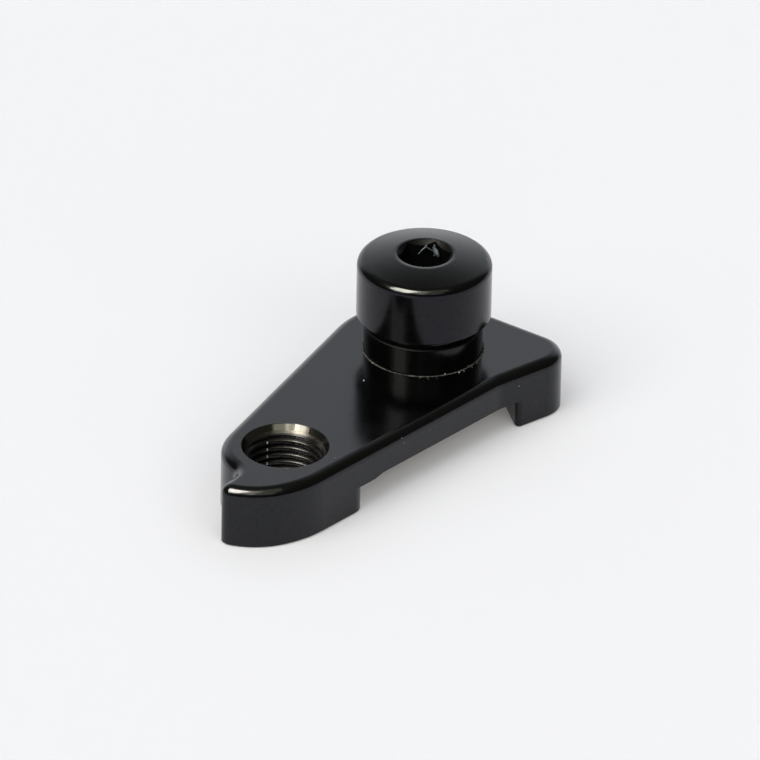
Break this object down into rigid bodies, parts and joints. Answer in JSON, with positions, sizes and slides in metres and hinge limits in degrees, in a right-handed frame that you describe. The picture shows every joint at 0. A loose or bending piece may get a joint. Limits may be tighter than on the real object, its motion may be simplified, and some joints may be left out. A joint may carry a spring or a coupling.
{
  "type": "bicycle derailleur hanger",
  "caption": "Flat hanger plate with a threaded derailleur hole, a stop tab and a shouldered round nut for the through axle standing in its bore.",
  "frame": {"origin": "on the derailleur hole's axis, in the plane of the inboard face the part lies on", "axes": "+Z along the hole and the axle out of the bicycle, towards the nut's head; X from the derailleur hole towards the axle"},
  "size_m": [0.0553, 0.0274, 0.0216],
  "materials": {
    "plate": "black anodised, satin",
    "nut": "black anodised, smooth turned"
  },
  "bodies": {
    "root": {"hanger_plate": "plate", "axle_nut": "nut"}
  },
  "joints": []
}
